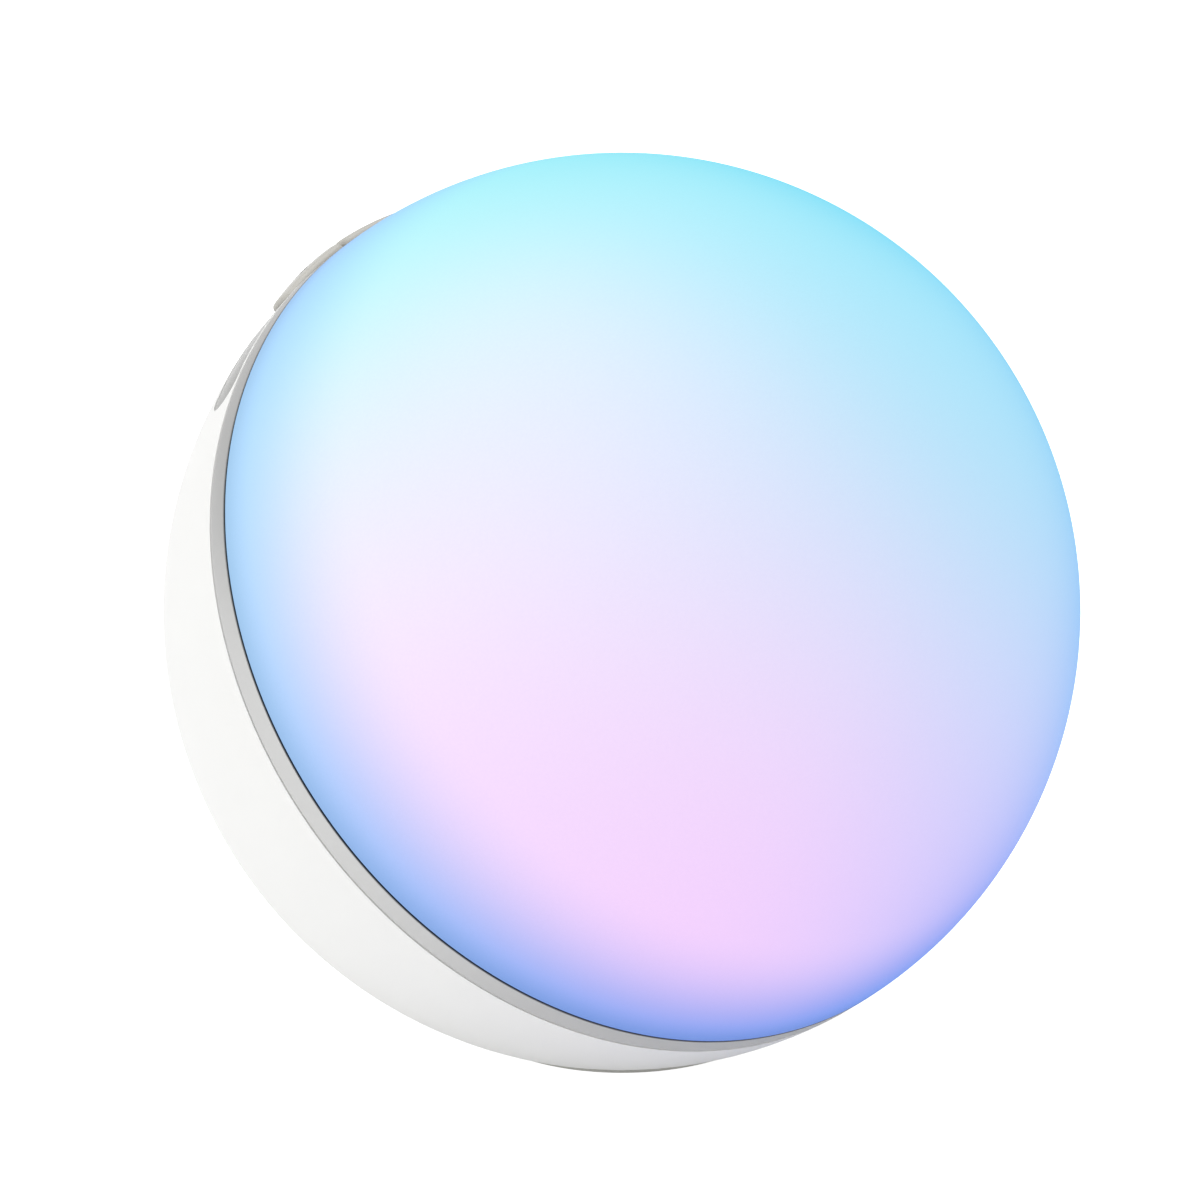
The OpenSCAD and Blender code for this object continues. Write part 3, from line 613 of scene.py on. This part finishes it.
# ---------- mesh helpers ----------

SMOOTH_ANGLE = math.radians(40)
MERGE_DISTANCE = 1e-7
ON_AXIS = 1e-9


def new_piece(name, mesh, body, slot, *replaced):
    """Puts a finished mesh in the scene as a piece of the object."""
    piece = bpy.data.objects.new(name, mesh)
    bpy.context.scene.collection.objects.link(piece)
    piece.data.materials.append(FINISHES[slot])
    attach(piece, body)
    if replaced:
        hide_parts(*replaced)
    return piece


def mesh_from(name, points, faces):
    """A mesh in the part's frame from points in the globe's own frame."""
    mesh = bpy.data.meshes.new(name)
    mesh.from_pydata([TILTED @ Vector(p) for p in points], [], faces)
    build = bmesh.new()
    build.from_mesh(mesh)
    bmesh.ops.remove_doubles(build, verts=build.verts, dist=MERGE_DISTANCE)
    bmesh.ops.recalc_face_normals(build, faces=build.faces)
    build.to_mesh(mesh)
    build.free()
    mesh.shade_smooth()
    mesh.set_sharp_from_angle(angle=SMOOTH_ANGLE)
    return mesh


def arc(centre, radius, start, end, steps):
    """Points on an arc in a flat outline, with angles in degrees."""
    points = []
    for i in range(steps + 1):
        a = math.radians(start + (end - start) * i / steps)
        points.append((centre[0] + radius * math.cos(a), centre[1] + radius * math.sin(a)))
    return points


def lathe(name, outline, steps=256):
    """Turns a closed outline of (radius, height) points about the dome's axis."""
    points, faces = [], []
    count = len(outline)
    for i in range(steps):
        a = 2 * math.pi * i / steps
        for r, z in outline:
            points.append((r * math.sin(a), r * math.cos(a), z))
    for i in range(steps):
        for j in range(count):
            k = (j + 1) % count
            near, far = i * count, (i + 1) % steps * count
            face = [near + j, far + j, far + k, near + k]
            if outline[j][0] < ON_AXIS:
                face = [near + j, far + k, near + k]
            if outline[k][0] < ON_AXIS:
                face = [near + j, far + j, near + k]
            if outline[j][0] > ON_AXIS or outline[k][0] > ON_AXIS:
                faces.append(face)
    return mesh_from(name, points, faces)


def sphere_angle(radius, height):
    """Angle above the seam's plane, in degrees, of a point at that height on a sphere."""
    return math.degrees(math.asin(height / radius))


# ---------- dome and band ----------

def dome_outline():
    """Half section of the dome: outer skin, rounded edge, skirt that plugs into the frame."""
    f = EDGE_FILLET
    edge_a = sphere_angle(GLOBE_R - f, DOME_EDGE + f)
    edge_r = math.sqrt((GLOBE_R - f) ** 2 - (DOME_EDGE + f) ** 2)
    inner = GLOBE_R - WALL
    points = arc((0, 0), GLOBE_R, 90, edge_a, 96)
    points += arc((edge_r, DOME_EDGE + f), f, edge_a - 10, -90, 6)
    points += [(SKIRT_OUT, DOME_EDGE), (SKIRT_OUT, SKIRT_LOW), (SKIRT_IN, SKIRT_LOW)]
    points += [(SKIRT_IN, SKIRT_HIGH)]
    points += arc((0, 0), inner, sphere_angle(inner, SKIRT_HIGH), 90, 96)
    points[0] = (0, GLOBE_R)
    points[-1] = (0, inner)
    return points


def make_dome():
    """The dome, in place of the plain one."""
    mesh = lathe("dome", dome_outline())
    new_piece("dome", mesh, "case", "diffuser", "front_diffuser")


def band_outline():
    """Half section of the band: it follows the globe and reaches back to the shell's edge."""
    f = BAND_FRONT_FILLET
    g = BAND_REAR_FILLET
    inner = SKIRT_OUT + 0.2 * MM
    r = GLOBE_R
    front_r = math.sqrt((r - f) ** 2 - (BAND_FRONT - f) ** 2)
    rear_r = math.sqrt((r - g) ** 2 - (SHELL_EDGE + g) ** 2)
    front_a = sphere_angle(r - f, BAND_FRONT - f)
    rear_a = sphere_angle(r - g, SHELL_EDGE + g)
    points = [(inner, BAND_FRONT)]
    points += arc((front_r, BAND_FRONT - f), f, 90, front_a + 10, 5)
    points += arc((0, 0), r, front_a, rear_a, 8)
    points += arc((rear_r, SHELL_EDGE + g), g, rear_a - 10, -50, 5)
    points += [(rear_r, SHELL_EDGE), (rear_r - g, BAND_REAR)]
    points += [(FRAME_R + 0.2 * MM, BAND_REAR)]
    points += [(FRAME_R + 0.2 * MM, BAND_REAR + BAND_FLANGE), (inner, BAND_REAR + BAND_FLANGE)]
    return points


def make_band():
    """The band, in place of the plain one."""
    mesh = lathe("band", band_outline(), steps=384)
    new_piece("band", mesh, "case", "band", "trim_ring")


# ---------- keys ----------

def row_point(angle, across, radius):
    """A point of the key row: angle about the row's centre, place across it, radius."""
    y = ROW_SHIFT + radius * math.cos(angle)
    return (radius * math.sin(angle), y, STRIP_Z + across)


def crown_radius(across, inset=0.0):
    """How far the gently crowned top of a key stands from the row's centre."""
    return ROW_R - inset - KEY_CROWN_R + math.sqrt(KEY_CROWN_R**2 - across**2)


def key_outline(inset):
    """Section of a key as (across, radius) points, drawn in by a small amount near its ends."""
    half = KEY_W / 2 - inset
    corner = KEY_SHOULDER
    flat = half - corner
    top = crown_radius(flat, inset)
    low = KEY_LOW - ROW_SHIFT
    right = arc((flat, top - corner), corner, 0, 78, 7)
    crown = []
    for i in range(1, 12):
        across = flat * (1 - 2 * i / 12)
        crown.append((across, crown_radius(across, inset)))
    left = [(-x, y) for x, y in reversed(right)]
    return [(half, low)] + right + crown + left + [(-half, low)]


def end_steps():
    """Distance from a key's end and how far the section is drawn in there, for each step."""
    steps = 5
    turns = [math.pi / 2 * i / steps for i in reversed(range(steps + 1))]
    f = KEY_END_FILLET
    return [(f * (1 - math.sin(a)), f * (1 - math.cos(a))) for a in turns]


def key_stations(start):
    """Angles along the row at which a key's section is set, each with how far it is drawn in."""
    near = [(start + along / ROW_R, inset) for along, inset in end_steps()]
    first = near[-1][0]
    last = start + KEY_ANGLE - (first - start)
    spans = 14
    middle = [(first + (last - first) * i / spans, 0.0) for i in range(1, spans)]
    far = [(2 * start + KEY_ANGLE - angle, inset) for angle, inset in reversed(near)]
    return near + middle + far


def key_mesh(name, start):
    """Sweeps the key's section along the row, with a rounded edge at both ends."""
    stations = key_stations(start)
    points, faces = [], []
    for angle, inset in stations:
        for across, radius in key_outline(inset):
            points.append(row_point(angle, across, radius))
    count = len(key_outline(0.0))
    for i in range(len(stations) - 1):
        for j in range(count):
            k = (j + 1) % count
            faces.append([i * count + j, (i + 1) * count + j, (i + 1) * count + k, i * count + k])
    faces.append(list(range(count)))
    faces.append([len(points) - count + j for j in reversed(range(count))])
    return mesh_from(name, points, faces)


def key_middle(i):
    """The angle along the row of the middle of key i."""
    return i * (KEY_ANGLE + KEY_GAP) - ROW_ANGLE / 2 + KEY_ANGLE / 2


def key_direction(i):
    """The angle about the globe's own axis along which a key is pressed."""
    middle = key_middle(i)
    return math.atan2(ROW_R * math.sin(middle), ROW_SHIFT + ROW_R * math.cos(middle))


def flange_mesh(name, direction):
    """The thin bent plate under a key that keeps it in."""
    points, faces = [], []
    steps = 12
    for i in range(steps + 1):
        a = direction + KEY_FLANGE_ANGLE * (2 * i / steps - 1)
        for r in (KEY_FLANGE_IN, KEY_FLANGE_IN + KEY_FLANGE_T):
            for across in (-KEY_FLANGE_W, KEY_FLANGE_W):
                points.append((r * math.sin(a), r * math.cos(a), STRIP_Z + across))
    for i in range(steps):
        n = 4 * i
        for j, k in ((0, 1), (1, 3), (3, 2), (2, 0)):
            faces.append([n + j, n + 4 + j, n + 4 + k, n + k])
    faces.append([0, 1, 3, 2])
    faces.append([len(points) - 4 + j for j in (2, 3, 1, 0)])
    return mesh_from(name, points, faces)


def stem_mesh(name, direction):
    """The round stem that meets the silicone pad, with a rounded foot."""
    f = 0.3 * MM
    rings = [(KEY_STEM_R - f, KEY_STEM_LOW), (KEY_STEM_R - f / 3, KEY_STEM_LOW + f / 3)]
    rings += [(KEY_STEM_R, KEY_STEM_LOW + f), (KEY_STEM_R, KEY_FLANGE_IN + 0.5 * MM)]
    points, faces = [], []
    steps = 40
    for radius, height in rings:
        for i in range(steps):
            a = 2 * math.pi * i / steps
            along, across = radius * math.cos(a), radius * math.sin(a)
            x = height * math.sin(direction) + along * math.cos(direction)
            y = height * math.cos(direction) - along * math.sin(direction)
            points.append((x, y, STRIP_Z + across))
    for n in range(len(rings) - 1):
        for i in range(steps):
            j = (i + 1) % steps
            faces.append([n * steps + i, n * steps + j, (n + 1) * steps + j, (n + 1) * steps + i])
    faces.append(list(range(steps)))
    faces.append([len(points) - 1 - i for i in range(steps)])
    return mesh_from(name, points, faces)


def make_keys():
    """Each key as a crowned cap, with its flange and stem on the same body."""
    for i, name in enumerate(KEY_NAMES):
        start = key_middle(i) - KEY_ANGLE / 2
        body = name + "_cap"
        new_piece(body, key_mesh(body, start), body, "key_grey", name)
        flange = flange_mesh(name + "_flange", key_direction(i))
        new_piece(name + "_flange", flange, body, "key_grey")
        stem = stem_mesh(name + "_stem", key_direction(i))
        new_piece(name + "_stem", stem, body, "key_grey")


# ---------- symbols on the keys ----------

def patch(centre, corner, points, faces, columns=8, rows=8):
    """Adds a thin raised patch that follows a key's crown; corner(s, t) gives its outline."""
    first = len(points)
    count = (columns + 1) * (rows + 1)
    for lift in (SYMBOL_RISE, -SYMBOL_SINK):
        for i in range(columns + 1):
            for j in range(rows + 1):
                along, across = corner(i / columns, j / rows)
                radius = crown_radius(across) + lift
                points.append(row_point(centre + along / ROW_R, across, radius))

    def spot(i, j):
        return first + i * (rows + 1) + j

    border = [(i, 0) for i in range(columns)]
    border += [(columns, j) for j in range(rows)]
    border += [(i, rows) for i in range(columns, 0, -1)]
    border += [(0, j) for j in range(rows, 0, -1)]
    for i in range(columns):
        for j in range(rows):
            top = [spot(i, j), spot(i + 1, j), spot(i + 1, j + 1), spot(i, j + 1)]
            faces.append(top)
            faces.append([count + v for v in reversed(top)])
    for n, (i, j) in enumerate(border):
        k, m = border[(n + 1) % len(border)]
        faces.append([spot(k, m), spot(i, j), count + spot(i, j), count + spot(k, m)])


def bar_along(low, high):
    """A bar that lies along the row."""
    return lambda s, t: (low + (high - low) * s, SYMBOL_BAR * (2 * t - 1))


def bar_across(low, high):
    """A bar that lies across the row."""
    return lambda s, t: (SYMBOL_BAR * (2 * s - 1), low + (high - low) * t)


def wedge(s, t):
    """A triangle that points along the row."""
    half = SYMBOL_ARM * 0.95 * (1 - 0.96 * s)
    return (SYMBOL_ARM * (1.9 * s - 0.85), half * (2 * t - 1))


def sector(inner, outer, start, end):
    """A slice of a ring, with its angles in radians."""
    def corner(s, t):
        a = start + (end - start) * s
        r = inner + (outer - inner) * t
        return (r * math.cos(a), r * math.sin(a))
    return corner


def symbol_shapes(name):
    """The outlines of the plain symbol on each key: a light with rays, minus, plus, play."""
    arm, bar = SYMBOL_ARM, SYMBOL_BAR
    if name == "key_play":
        return [wedge]
    if name == "key_minus":
        return [bar_along(-arm, arm)]
    if name == "key_plus":
        return [bar_across(-arm, arm), bar_along(-arm, -bar * 1.05), bar_along(bar * 1.05, arm)]
    shapes = [sector(0.38 * MM, 0.72 * MM, 0, 1.999 * math.pi)]
    for i in range(RAY_COUNT):
        a = 2 * math.pi * i / RAY_COUNT
        shapes.append(sector(1.0 * MM, 1.5 * MM, a - RAY_HALF_ANGLE, a + RAY_HALF_ANGLE))
    return shapes


def make_symbols():
    """The symbols, which move with their keys."""
    for i, name in enumerate(KEY_NAMES):
        points, faces = [], []
        for corner in symbol_shapes(name):
            patch(key_middle(i), corner, points, faces)
        mesh = mesh_from(name + "_symbol", points, faces)
        new_piece(name + "_symbol", mesh, name + "_cap", "strip_grey")


# ---------- everything ----------

def dress_cad_nodes():
    """Gives every CAD node the finish of its slot."""
    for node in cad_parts.values():
        slot = node.data.materials[0].name.split(".")[0]
        node.data.materials.clear()
        node.data.materials.append(FINISHES[slot])


make_camera()
make_floor()
make_world()
make_lights()
FINISHES = slot_materials()
dress_cad_nodes()
make_dome()
make_band()
make_keys()
make_symbols()
